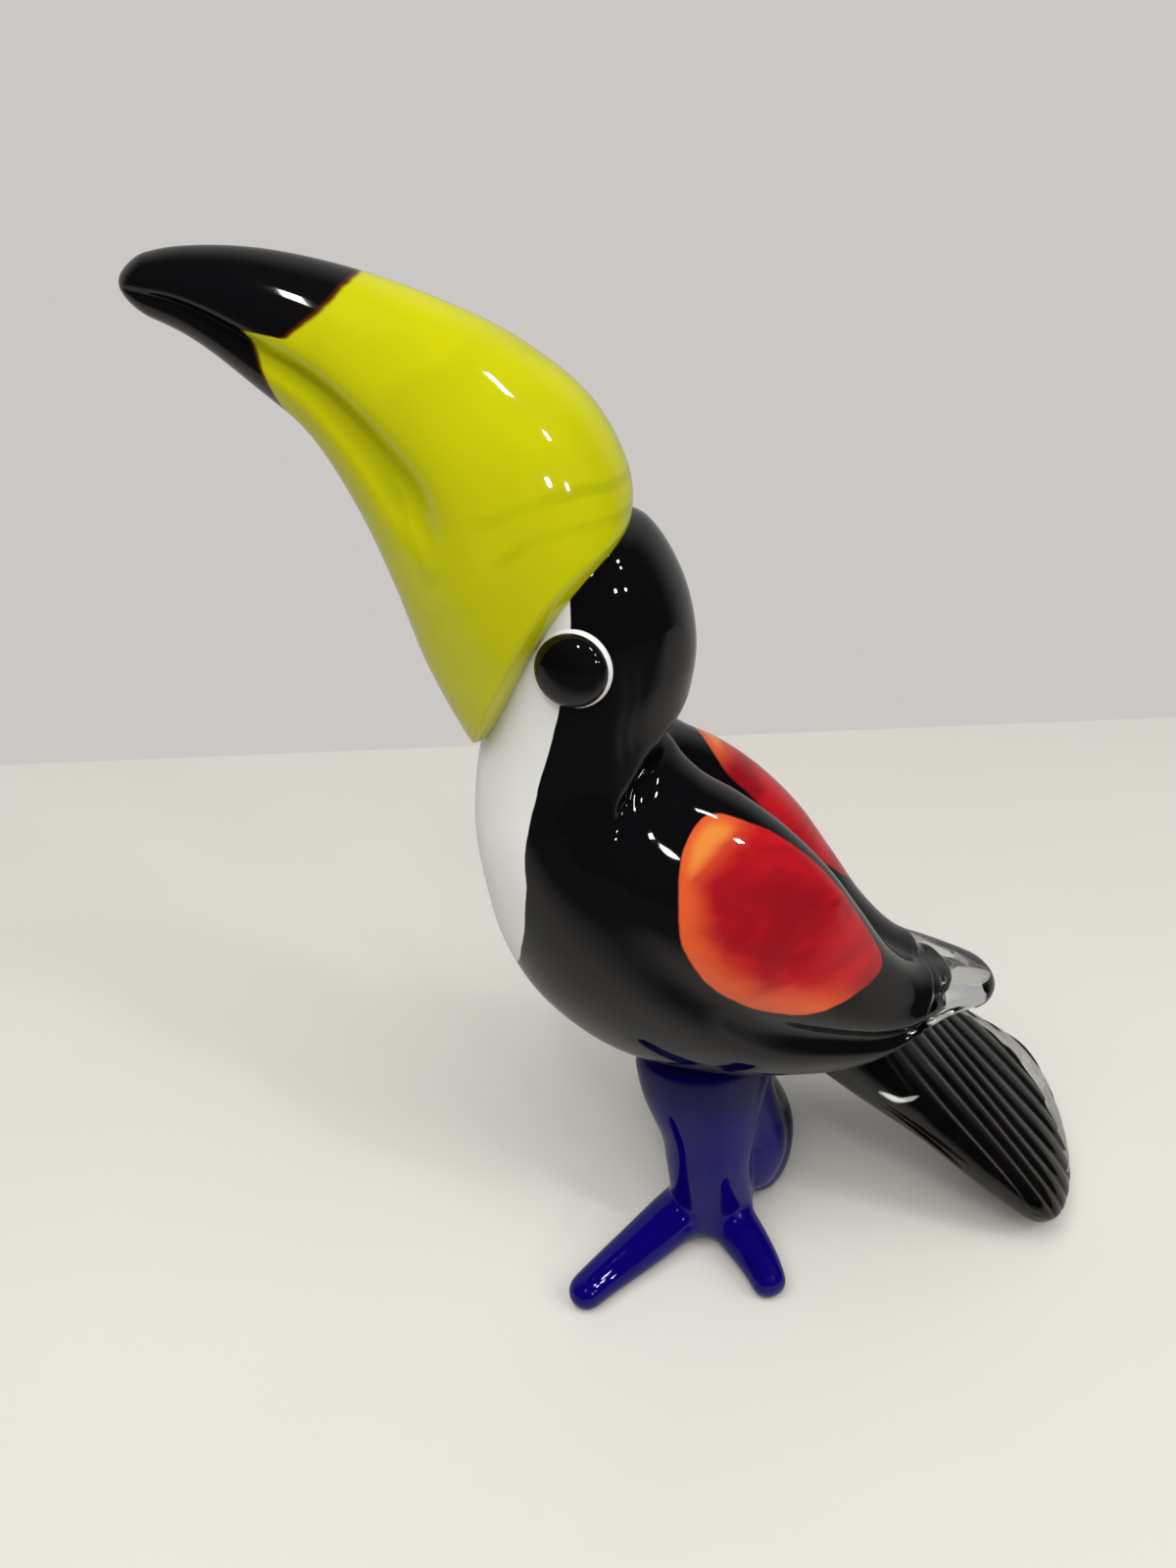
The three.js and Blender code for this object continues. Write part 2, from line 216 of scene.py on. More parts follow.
# A small crescent of white glass by the tail's near edge, painted light where light shines through the
# clear casing: along the fan, across it, height, radius
CRESCENT = [
    (-108.5, -23.4, 4.5, 0.9), (-105.5, -24, 5, 1.05), (-100.5, -24.2, 5.6, 1.15),
    (-96, -22.8, 7, 1.1), (-92.5, -20.6, 8, 0.9),
]
CRESCENT_TAPER = 0.6  # power of its taper, less for blunter ends

# Limbs from the body down or from the foot out: middle x, y, z, half depth and half width. The web
# and the joint are glass that fused between the others, and the CAD's legs leave them out.
LIMBS = {
    "left leg": [(-8, -10, 84, 23, 16), (-7.5, -13, 66, 20.5, 15), (-5.5, -15, 48, 16, 13),
                 (-5, -16, 34, 14, 12), (-3.5, -16.5, 20, 13.5, 10.5), (-2, -17, 10, 13, 9.5),
                 (-2, -17, 3, 11, 8)],
    "left front toe": [(2, -9, 13, 9.5, 9.5), (-13, -17.5, 10.8, 9, 8.8), (-28, -27.5, 7.8, 7.8, 7.6),
                       (-41, -36.5, 5.9, 6.4, 6.4), (-52, -45, 4.9, 5.3, 5.5)],
    "left rear toe": [(-2, -13, 12, 9, 9), (4.5, -25, 9, 8, 7.6), (9.5, -36, 6.3, 6.6, 6.5),
                      (12.2, -47.5, 4.6, 5.2, 5.3)],
    "right leg": [(0, 10, 84, 19, 14), (-0.5, 10, 63, 13, 13), (4.5, 10, 46, 13.5, 12.5),
                  (13, 6, 29, 15, 12.5), (12.5, 2, 15, 15, 12), (9, 1, 4, 12, 10)],
    "right front toe": [(12, 4, 12, 9, 9), (4, 18, 9, 8, 8), (-3, 32, 6.3, 6.8, 6.8),
                        (-9, 47.5, 4.6, 5.3, 5.5)],
    "web": [(2, -3, 84, 20, 12), (3, -4, 60, 14, 12), (7, -3, 40, 14, 12), (10, -4, 26, 14, 12),
            (6, -6, 12, 12, 10)],
    "joint": [(-12, -15, 12, 10, 10), (-3, -15, 15, 12, 12), (6, -15, 12, 10, 10)],
    "right rear toe": [(13, 4, 12, 9, 9), (19, 18, 9, 7.7, 8), (24, 31, 6.3, 6.5, 6.8),
                       (27, 45, 4.6, 5.2, 5.5)],
}
LIMB_END = 0.1  # share of a limb that each rounded end takes
LEG_SOFTENING = 30  # rounds of smoothing after the limbs are fused
# Where painted shade darkens the legs' blue: higher up under the belly, and on the inner side above the
# toes, in metres
LEG_HIGH = (0.045, 0.075)
LEG_INNER_Y = (-0.014, -0.003)
LEG_INNER_Z = (0.012, 0.026)

GLASS_IOR = 1.5

# Stage, in metres and watts
TABLE_HALF_SIZE = (1.6, 0.9)
TABLE_FAR_EDGE = 0.34
TABLE_PALE = (0.66, 0.645, 0.60)
TABLE_PALER = (0.70, 0.685, 0.645)
TABLE_DIMMED = (0.01, 0.01, 0.01)  # painted shade, seen only in mirror rays, for the shadow and dark room in front of the table, so that the neck stays black
TABLE_DIM_Y = (-0.10, -0.36)  # from the bird's near side towards the front
TABLE_DIM = (0.4, 0.94)  # share of the dimmed colour at each of these
WALL = (0.60, 0.575, 0.555)
ROOM = (1, 0.985, 0.97)
ROOM_Y = (-0.1, 0.6)  # directions between which the room goes from dark to its full strength
ROOM_STRENGTH = (0.02, 0.42)
WALL_THROUGH_Z = (0.5, 0.1)  # directions between which the wall comes to show through glass
LAMPLIGHT = (1.0, 0.985, 0.96)
LAMPS_AIM = Vector((0, 0, 0.15))
PANELS_MIDDLE = Vector((0, 0, 0.2))
PANELS_AWAY = 1.8  # from that middle to each panel
# Small ceiling panels: azimuth and elevation in degrees, width, height, power
PANELS = [
    (46, 52, 0.10, 0.26, 3.2), (-16, 52, 0.10, 0.24, 3.2), (30, 19, 0.09, 0.08, 1.6),
    (47, 36, 0.05, 0.10, 1.4), (44, 18, 0.06, 0.05, 1.2),
]
CAMERA_AT = (-0.0595, -0.2842, 0.332)
CAMERA_TURN = (math.radians(60), 0, math.radians(-5))
CAMERA_SENSOR = 36  # millimetres, as the lens is
CAMERA_LENS = 27.05


def station_at(rows, t):
    """Numbers of a station table at t in 0..1, on smooth curves through the stations."""
    n = len(rows) - 1
    u = min(max(t, 0), 1) * n
    i = min(int(u), n - 1)
    f = u - i
    out = []
    for c, (b, d) in enumerate(zip(rows[i], rows[i + 1])):
        a = rows[i - 1][c] if i > 0 else 2 * b - d
        e = rows[i + 2][c] if i + 2 <= n else 2 * d - b
        out.append(0.5 * (2 * b + (d - a) * f + (2 * a - 5 * b + 4 * d - e) * f * f
                          + (3 * b - a - 3 * d + e) * f ** 3))
    return out


def bump(value, middle, width):
    """A bell that is 1 at the middle and falls away at both sides."""
    return math.exp(-(((value - middle) / width) ** 2))


def smooth(low, high, value):
    """Rises smoothly from 0 at low to 1 at high, which may be the smaller number."""
    x = min(max((value - low) / (high - low), 0), 1)
    return x * x * (3 - 2 * x)


def share_between(low, high, values):
    """How far each number of an array is from low to high, from 0 to 1."""
    return np.clip((values - low) / (high - low), 0, 1)


def round_end(distance, cap):
    """Share of the full section at a distance from a rounded end."""
    return math.sqrt(max(0, 1 - (1 - distance / cap) ** 2)) if distance < cap else 1


def round_ends(t, first, last):
    """Share of the full section at a place along a loft with two rounded ends."""
    return min(round_end(t, first), round_end(1 - t, last))


def place_along(phi):
    """Place along a loft for a ring's angle from the pole: rings lie closer near both ends."""
    return EVEN_RINGS * phi / math.pi + (1 - EVEN_RINGS) * (1 - math.cos(phi)) / 2


def angle_from_back(theta):
    return abs(math.atan2(math.sin(theta), math.cos(theta)))


def to_frame(point):
    """Millimetres of the lofts to the frame's metres."""
    return Vector(((point[0] + SHIFT_X) * MM, point[1] * MM, point[2] * MM))


# Points of the lofts

def section_point(upper, lower, half_width, theta, keep, relief):
    """A point of an oval section between an upper and a lower place on the middle plane."""
    deep = math.hypot(upper[0] - lower[0], upper[1] - lower[1])
    up = keep * (deep / 2 + relief) * math.cos(theta)
    side = keep * (half_width + relief) * math.sin(theta)
    return Vector(((upper[0] + lower[0]) / 2 + (upper[0] - lower[0]) / deep * up, -side,
                   (upper[1] + lower[1]) / 2 + (upper[1] - lower[1]) / deep * up))


def neck_crease_at(angle):
    """Place along the body and depth of the neck crease at an angle from the back."""
    if angle >= NECK_CREASE[-1][0]:
        return NECK_CREASE[-1][1], 0
    i = next(k for k, row in enumerate(NECK_CREASE) if row[0] > angle)
    p, q = NECK_CREASE[i - 1], NECK_CREASE[i]
    f = smooth(p[0], q[0], angle)
    return p[1] + f * (q[1] - p[1]), p[2] + f * (q[2] - p[2])


def body_point(t, theta, keep):
    """A point of the body at a place along it, with the wings' ridges, cleft and creases."""
    bx, bz, fx, fz, wide, cleft, ridge, crease, crease_angle = station_at(BODY, t)
    angle = angle_from_back(theta)
    neck_at, neck_depth = neck_crease_at(angle)
    relief = (-cleft * bump(angle, 0, CLEFT_WIDTH) + ridge * bump(angle, RIDGE_ANGLE, RIDGE_WIDTH)
              - crease * bump(angle, crease_angle, WING_CREASE_WIDTH)
              - neck_depth * bump(t, neck_at, NECK_CREASE_WIDTH))
    return section_point((bx, bz), (fx, fz), wide, theta, keep, relief)


def bill_point(t, theta, keep):
    """A point of the bill, with its mouth groove."""
    side = math.sin(theta)
    along = t + BILL_SIDE_SWEEP * keep * side * side * (1 - smooth(0, BILL_SWEEP_END, t))
    bx, bz, fx, fz, wide, groove, groove_angle = station_at(BILL, along)
    relief = (-groove * smooth(*GROOVE_FADE, along)
              * bump(angle_from_back(theta), groove_angle, GROOVE_WIDTH))
    return section_point((bx, bz), (fx, fz), wide, theta, keep, relief)


def on_tail(along, place, height):
    """A point of the tail from its place along the fan, across it and above its plane."""
    way = Vector((math.cos(TAIL_SLOPE), 0, -math.sin(TAIL_SLOPE)))
    face = Vector((math.sin(TAIL_SLOPE), 0, math.cos(TAIL_SLOPE)))
    across = Vector((0, math.cos(TAIL_ROLL), 0)) + math.sin(TAIL_ROLL) * face
    return TAIL_END + along * way + place * across + height * way.cross(across)


def feather_wave(along, place, step):
    """1 on the middle of a feather and 0 between two."""
    waver = RIB_WAVER * math.sin(along / RIB_WAVER_ALONG + place / RIB_WAVER_ACROSS)
    swept = place + RIB_SWEEP * (along - RIB_SWEEP_FROM) + waver
    return 0.5 + 0.5 * math.cos(2 * math.pi * swept / step)


def tail_point(t, theta, keep, rib_step, rib_depth):
    """A point of the clear casing, with grooves between its ribs on the upper side."""
    a, mid, wide, thick = station_at(TAIL, t)
    c, s = math.cos(theta), math.sin(theta)
    place = mid - wide * s * keep
    upper_side = min(1, 2 * max(c, 0))
    rib = rib_depth * keep * upper_side * (1 - feather_wave(a, place, rib_step)) ** RIB_SHARPNESS
    height = thick * math.copysign(abs(c) ** TAIL_SQUARENESS, c) * keep - rib
    return on_tail(a, place, height + TAIL_LIFT)


TAIL_SHARES = np.linspace(0, 1, 200)
TAIL_PLACES = [station_at(TAIL, share)[0] for share in TAIL_SHARES]


def tail_share(a):
    """Share of the tail's stations at a place along the fan."""
    return float(np.interp(a, TAIL_PLACES, TAIL_SHARES))


def feathers_end(across, notch, rib_step):
    """Where the black ends along the fan, with a notch between every two feathers."""
    end = station_at(FEATHER_ENDS, across)[0]
    _, mid, wide, _ = station_at(TAIL, tail_share(end))
    place = mid - wide + (2 * wide - FEATHER_TIPS_IN) * across
    return end - notch * (1 - feather_wave(end, place, rib_step)) * smooth(*FEATHER_NOTCH_FADE, across)


def feathers_sides(a, mid, wide, rib_step):
    """Near and far side of the black across the fan."""
    near = mid - wide + NEAR_MARGIN
    far = mid + wide - FAR_MARGIN
    far -= FAR_MARGIN_MORE * math.prod(smooth(*fade, a) for fade in FAR_MARGIN_FADES)
    far -= FAR_SCALLOP * (1 - feather_wave(a, far, rib_step)) * smooth(*FAR_SCALLOP_FADE, a)
    return near, max(far, near + 1)


def feathers_point(across, theta, notch, casing, rib_step):
    """A point of the black feathers, which lie side by side inside the clear casing."""
    end = feathers_end(across, notch, rib_step)
    a = FEATHER_ROOT + (end - FEATHER_ROOT) * place_along(abs(theta))
    share = tail_share(a)
    _, mid, wide, thick = station_at(TAIL, share)
    wide *= round_end(1 - share, TAIL_ENDS[1])
    thick *= round_end(1 - share, TAIL_ENDS[1])
    near, far = feathers_sides(a, mid, wide, rib_step)
    place = near + (far - near) * across
    s = (mid - place) / wide
    shell = thick * max(0.0, 1 - s * s) ** (TAIL_SQUARENESS / 2)
    cover = casing * (CASING_NEAR + (1 - CASING_NEAR) * smooth(*CASING_FADE, across))
    bottom = max(FEATHER_THIN, shell - cover)
    valley = FEATHER_RIDGE * (1 - feather_wave(a, place, rib_step)) * smooth(*FEATHER_RIDGE_FADE, a)
    keep = round_end(end - a, FEATHER_NOSE) * (
        round_end(across, FEATHER_SIDES[0]) * round_end(1 - across, FEATHER_SIDES[1]))
    height = (bottom - valley) * keep if theta > 0 else -bottom * keep
    return on_tail(a, place, TAIL_LIFT + height)


def limb_point(rows, t, theta):
    """A point of a leg or toe: an oval section square to the way that the limb runs."""
    x, y, z, deep, wide = station_at(rows, t)
    keep = round_ends(t, LIMB_END, LIMB_END)
    before = station_at(rows, max(t - NUDGE, 0))
    after = station_at(rows, min(t + NUDGE, 1))
    way = Vector([q - p for p, q in zip(before[:3], after[:3])]).normalized()
    side = way.cross(Vector((0, 1, 0))).normalized()
    other = side.cross(way)
    return (Vector((x, y, z)) + side * (deep * keep * math.cos(theta))
            + other * (wide * keep * math.sin(theta)))


# Outlines on a surface

def smooth_ring(points, steps=14):
    """A closed smooth curve through a few points, as an array."""
    rows = np.array(points, float)
    before, after, last = np.roll(rows, 1, 0), np.roll(rows, -1, 0), np.roll(rows, -2, 0)
    out = []
    for f in np.arange(steps) / steps:
        out.append(0.5 * (2 * rows + (after - before) * f
                          + (2 * before - 5 * rows + 4 * after - last) * f * f
                          + (3 * rows - before - 3 * after + last) * f ** 3))
    return np.stack(out, 1).reshape(-1, 2)


def depth_inside(points, outline):
    """Distance of each point from a closed outline, positive inside it."""
    a, b = outline, np.roll(outline, -1, 0)
    best = np.full(len(points), np.inf)
    inside = np.zeros(len(points), bool)
    for p, d, q in zip(a, b - a, b):
        f = np.clip(((points - p) @ d) / (d @ d + TINY), 0, 1)
        best = np.minimum(best, np.hypot(*(points - p - f[:, None] * d).T))
        crosses = (p[1] > points[:, 1]) != (q[1] > points[:, 1])
        at = p[0] + (points[:, 1] - p[1]) / (d[1] if d[1] else TINY) * d[0]
        inside ^= crosses & (points[:, 0] < at)
    return np.where(inside, best, -best)


def past_tip_edge(along, angle):
    """Millimetres past the edge of the bill's black tip."""
    upper = TIP_UPPER + TIP_UPPER_CURVE * angle ** 2
    lower = TIP_LOWER - TIP_LOWER_SLANT * (angle - TIP_LOWER_FROM)
    edge = upper + (lower - upper) * share_between(*TIP_STEP, angle)
    return (along - edge) * BILL_LENGTH


def streak_rings(along, angle):
    """Millimetres of the rings that the bill's streaks follow, and how strongly they show."""
    held = np.clip(along, *STREAK_GROOVE)
    groove = STREAK_GROOVE_ANGLE - STREAK_GROOVE_SLANT * (held - STREAK_GROOVE_FROM)
    below = angle - groove
    lower = np.hypot((along - held) * BILL_LENGTH, below * BILL_RADIUS)
    upper = np.hypot(STREAK_SQUASH * (along - STREAK_MIDDLE) * BILL_LENGTH, angle * BILL_RADIUS)
    shown = (share_between(*STREAK_FADE_TIP, along) * share_between(*STREAK_FADE_UNDER, angle)
             * share_between(*STREAK_FADE_GROOVE, np.abs(below)))
    lower_shown = share_between(*STREAK_FADE_CHEEK, along)
    upper_shown = share_between(*STREAK_FADE_FIRST, upper) * share_between(*STREAK_FADE_LAST, upper)
    rings = np.where(below > 0, lower, upper)
    return rings, shown * np.where(below > 0, lower_shown, upper_shown)


# Meshes

def loft_mesh(bm, point_at, rings, around):
    """Adds a closed skin: a sphere's net of points, each moved to its place on the loft."""
    along = bm.verts.layers.float.get("along") or bm.verts.layers.float.new("along")
    angle = bm.verts.layers.float.get("angle") or bm.verts.layers.float.new("angle")
    made = bmesh.ops.create_uvsphere(bm, u_segments=around, v_segments=rings, radius=1)["verts"]
    for vert in made:
        phi = math.acos(max(-1, min(1, vert.co.z)))
        theta = math.atan2(vert.co.y, vert.co.x)
        vert[along] = place_along(phi)
        vert[angle] = theta
        vert.co = to_frame(point_at(phi, theta))


def finish_piece(bm, name, slot, material, *nodes):
    """Turns a bmesh into a named piece that rides on the figurine."""
    bmesh.ops.recalc_face_normals(bm, faces=bm.faces)
    mesh = bpy.data.meshes.new(name)
    bm.to_mesh(mesh)
    bm.free()
    mesh.shade_smooth()
    mesh.materials.append(material)
    piece = bpy.data.objects.new(name, mesh)
    bpy.context.scene.collection.objects.link(piece)
    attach(piece, "root")
    if nodes:
        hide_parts(*nodes)
    return piece


def set_layer(mesh, name, values):
    """Stores one number for each point, for the material to read."""
    layer = mesh.attributes.get(name) or mesh.attributes.new(name, "FLOAT", "POINT")
    layer.data.foreach_set("value", np.asarray(values, np.float32))


def get_layer(mesh, name):
    """Reads such numbers back as an array."""
    values = np.zeros(len(mesh.vertices), np.float32)
    mesh.attributes[name].data.foreach_get("value", values)
    return values.astype(float)


# Materials

def new_glass(name, roughness):
    """A glass material with its nodes and its shader."""
    material = bpy.data.materials.new(name)
    material.use_nodes = True
    tree = material.node_tree
    shader = tree.nodes["Principled BSDF"]
    shader.inputs["Roughness"].default_value = roughness
    shader.inputs["IOR"].default_value = GLASS_IOR
    return material, tree, shader


def node(tree, kind, inputs=None, **settings):
    """A new node with its settings, its inputs set to values or joined to other sockets."""
    made = tree.nodes.new(kind)
    for key, value in settings.items():
        setattr(made, key, value)
    for key, value in (inputs or {}).items():
        if isinstance(value, bpy.types.NodeSocket):
            tree.links.new(value, made.inputs[key])
        else:
            made.inputs[key].default_value = value
    return made


def attribute(tree, name):
    return node(tree, "ShaderNodeAttribute", attribute_name=name).outputs["Fac"]


def place_parts(tree):
    """The X, Y and Z of a place on the piece."""
    coords = node(tree, "ShaderNodeTexCoord").outputs["Object"]
    return node(tree, "ShaderNodeSeparateXYZ", {0: coords}).outputs


def noise(tree, scale, detail=2, distortion=0.0, stretch=(1, 1, 1)):
    """Noise on the piece's own coordinates, from 0 to 1."""
    coords = node(tree, "ShaderNodeTexCoord").outputs["Object"]
    mapped = node(tree, "ShaderNodeMapping", {"Vector": coords, "Scale": stretch}).outputs["Vector"]
    return node(tree, "ShaderNodeTexNoise", {"Vector": mapped, "Scale": scale, "Detail": detail,
                                             "Distortion": distortion}).outputs["Fac"]


def math_node(tree, operation, a, b=0.0):
    return node(tree, "ShaderNodeMath", {0: a, 1: b}, operation=operation).outputs[0]


def shifted(tree, value, cloud, width):
    """A value moved up and down by noise, over a whole width."""
    shift = math_node(tree, "MULTIPLY", math_node(tree, "SUBTRACT", cloud, 0.5), width)
    return math_node(tree, "ADD", value, shift)


def ramp(tree, value, low, high, to_low=0.0, to_high=1.0):
    """A value taken smoothly from one range to another, held at the ends."""
    made = node(tree, "ShaderNodeMapRange", {"Value": value, "From Min": low, "From Max": high,
                                             "To Min": to_low, "To Max": to_high},
                interpolation_type="SMOOTHSTEP")
    return made.outputs["Result"]


def mix(tree, factor, a, b):
    """A blend of two colours, each a socket or three numbers."""
    a, b = (c if isinstance(c, bpy.types.NodeSocket) else (*c, 1) for c in (a, b))
    return node(tree, "ShaderNodeMix", {0: factor, 6: a, 7: b}, data_type="RGBA").outputs[2]


def scaled(colour, share):
    return [share * c for c in colour]


def hand_worked(tree, shader, height=0.0006, scale=28):
    """The slow unevenness of a surface shaped hot by hand, which bends its reflections a little."""
    bumps = node(tree, "ShaderNodeBump", {"Height": noise(tree, scale, detail=1.5), "Strength": 0.35,
                                          "Distance": height})
    tree.links.new(bumps.outputs["Normal"], shader.inputs["Normal"])


def body_glass(colours):
    """Black glass with a white bib and orange and red wing patches under clear casing."""
    material, tree, shader = new_glass("cased_black_glass", roughness=0.035)
    black = mix(tree, noise(tree, scale=14), (0.0022, 0.0020, 0.0026), colours.black)
    milk = mix(tree, noise(tree, scale=18), colours.white, scaled(colours.white, 0.93))
    uneven = noise(tree, scale=90)
    on_bib = ramp(tree, shifted(tree, attribute(tree, "bib"), uneven, width=0.0012), *BIB_BLUR)
    on_patch = ramp(tree, shifted(tree, attribute(tree, "patch"), uneven, width=0.00144), *PATCH_BLUR)
    coloured = mix(tree, on_patch, mix(tree, on_bib, black, milk), patch_colour(tree, colours))
    tree.links.new(coloured, shader.inputs["Base Color"])
    hand_worked(tree, shader)
    return material


def patch_colour(tree, colours):
    """Clouded red with an orange rim low down and a yellow orange front."""
    depth = attribute(tree, "patch")
    angle = math_node(tree, "ABSOLUTE", attribute(tree, "angle"))
    cloud = noise(tree, scale=34, detail=3, distortion=0.7, stretch=(1, 1, 1.6))
    red = mix(tree, ramp(tree, cloud, low=0.38, high=0.66), colours.red, colours.deep_red)
    front = ramp(tree, shifted(tree, attribute(tree, "along"), cloud, width=0.04), *PATCH_FRONT)
    rim = ramp(tree, shifted(tree, depth, cloud, width=0.012), *PATCH_RIM)
    low_rim = math_node(tree, "MULTIPLY", rim, ramp(tree, angle, *PATCH_SIDE))
    warm = mix(tree, math_node(tree, "MAXIMUM", front, low_rim), red, colours.orange)
    glow = math_node(tree, "MULTIPLY", ramp(tree, front, low=0.5, high=1),
                     ramp(tree, depth, *PATCH_GLOW))
    return mix(tree, glow, warm, colours.yellow_orange)


def bill_glass(colours):
    """Opaque yellow glass with faint olive streaks round the mouth groove and a black tip."""
    material, tree, shader = new_glass("yellow_glass", roughness=0.05)
    cloud = ramp(tree, noise(tree, scale=26, detail=3, distortion=0.8), low=0.3, high=0.7)
    yellow = mix(tree, cloud, colours.bill, scaled(colours.bill, 0.9))
    ring = shifted(tree, attribute(tree, "streak"), noise(tree, scale=36), width=0.006)
    band = math_node(tree, "SINE", math_node(tree, "MULTIPLY", ring, 2 * math.pi / STREAK_STEP))
    uneven = ramp(tree, noise(tree, scale=30), low=0.35, high=0.65, to_low=0.1, to_high=0.42)
    faint = math_node(tree, "MULTIPLY", uneven, attribute(tree, "streaked"))
    streak = math_node(tree, "MULTIPLY", ramp(tree, band, low=0.1, high=1), faint)
    streaked = mix(tree, streak, yellow, colours.olive)
    tip = shifted(tree, attribute(tree, "tip"), noise(tree, scale=110, detail=3), width=0.003)
    browned = mix(tree, ramp(tree, tip, *TIP_BROWN), streaked, colours.tip_edge)
    coloured = mix(tree, ramp(tree, tip, *TIP_BLACK), browned, colours.black)
    tree.links.new(coloured, shader.inputs["Base Color"])
    hand_worked(tree, shader, height=0.0004)
    return material


def plain_glass(name, colour, second, roughness=0.04):
    """Opaque glass of one colour with slight clouding."""
    material, tree, shader = new_glass(name, roughness)
    cloud = ramp(tree, noise(tree, scale=60), low=0.35, high=0.65)
    tree.links.new(mix(tree, cloud, colour, second), shader.inputs["Base Color"])
    hand_worked(tree, shader, height=0.0003, scale=60)
    return material


def core_glass(name, colours):
    """Black glass sealed inside clear glass, so it has no gloss of its own."""
    material, tree, shader = new_glass(name, roughness=0.5)
    shader.inputs["Specular IOR Level"].default_value = 0.0
    cloud = ramp(tree, noise(tree, scale=70, detail=3), low=0.35, high=0.65)
    tree.links.new(mix(tree, cloud, colours.core, scaled(colours.core, 0.5)),
                   shader.inputs["Base Color"])
    return material


def clear_glass(colours):
    """Clear glass, see-through by plain values."""
    material, tree, shader = new_glass("clear_glass", roughness=0.0)
    shader.inputs["Base Color"].default_value = (*colours.clear, 1)
    shader.inputs["Transmission Weight"].default_value = 1
    return material


def cobalt_glass(colours):
    """Deep blue glass, so strongly coloured that only part of the light passes through it."""
    material, tree, shader = new_glass("cobalt_glass", roughness=0.02)
    place = place_parts(tree)
    # Painted shade: the blue is darkened higher up under the belly and on the inner side above the toes
    high = ramp(tree, shifted(tree, place["Z"], noise(tree, scale=45), width=0.03), *LEG_HIGH)
    inner = math_node(tree, "MULTIPLY", ramp(tree, place["Y"], *LEG_INNER_Y),
                      ramp(tree, place["Z"], *LEG_INNER_Z))
    painted_leg_shade = math_node(tree, "MAXIMUM", math_node(tree, "MULTIPLY", high, 0.7), inner)
    tree.links.new(mix(tree, painted_leg_shade, colours.cobalt, scaled(colours.cobalt, 0.16)),
                   shader.inputs["Base Color"])
    shader.inputs["Transmission Weight"].default_value = 0.5
    shader.inputs["Specular IOR Level"].default_value = 0.12
    return material


# Settings

def length_property(name, description, default):
    return FloatProperty(name=name, description=description, unit="LENGTH", subtype="DISTANCE",
                         default=default)


def colour_property(name, description, default):
    return FloatVectorProperty(name=name, description=description, subtype="COLOR", size=3,
                               min=0, max=1, default=default)


class ToucanSizes(bpy.types.PropertyGroup):
    """Sizes of the figurine's finer forms."""

    eye_disc: length_property("Eye disc", "Radius of the white eye disc", 0.010)
    eye_disc_depth: length_property("Disc depth", "Half the white disc's thickness", 0.003)
    eye_dome: length_property("Eye dome", "Radius of the black dome", 0.0093)
    eye_dome_depth: length_property("Dome depth", "Half the black dome's thickness", 0.0045)
    eye_dome_out: length_property("Dome out", "How far the dome's middle stands out", 0.0016)
    rib_step: length_property("Rib step", "From one pressed rib of the tail to the next", 0.0075)
    rib_depth: length_property("Rib depth", "Depth of the grooves between the ribs", 0.0007)
    feather_notch: length_property("Feather notch", "Depth of the notch between feathers", 0.0035)
    casing: length_property("Casing", "Clear glass over the black tail", 0.0018)
    leg_grid: length_property("Leg grid", "Spacing of the net that fuses the legs", 0.0008)


class ToucanColours(bpy.types.PropertyGroup):
    """Colours of the figurine's glasses."""

    black: colour_property("Black", "Body, bill tip and eyes", (0.0035, 0.003, 0.0038))
    white: colour_property("White", "Bib and eye discs", (0.80, 0.80, 0.79))
    red: colour_property("Red", "Middle of the wing patches", (0.47, 0.009, 0.014))
    deep_red: colour_property("Deep red", "Clouds in the red", (0.27, 0.006, 0.012))
    orange: colour_property("Orange", "Rims of the wing patches", (0.68, 0.10, 0.028))
    yellow_orange: colour_property("Yellow orange", "Front of the wing patches", (0.74, 0.25, 0.045))
    bill: colour_property("Bill", "Yellow of the bill", (0.53, 0.53, 0.004))
    olive: colour_property("Olive", "Streaks in the yellow", (0.27, 0.31, 0.003))
    tip_edge: colour_property("Tip edge", "Brown edge of the bill's black tip", (0.09, 0.018, 0.002))
    core: colour_property("Core", "Brown black of the tail's feathers", (0.0055, 0.0042, 0.0038))
    clear: colour_property("Clear", "Clear casing", (0.99, 1.0, 0.99))
    cobalt: colour_property("Cobalt", "Blue of the legs", (0.006, 0.0012, 0.22))


# Pieces

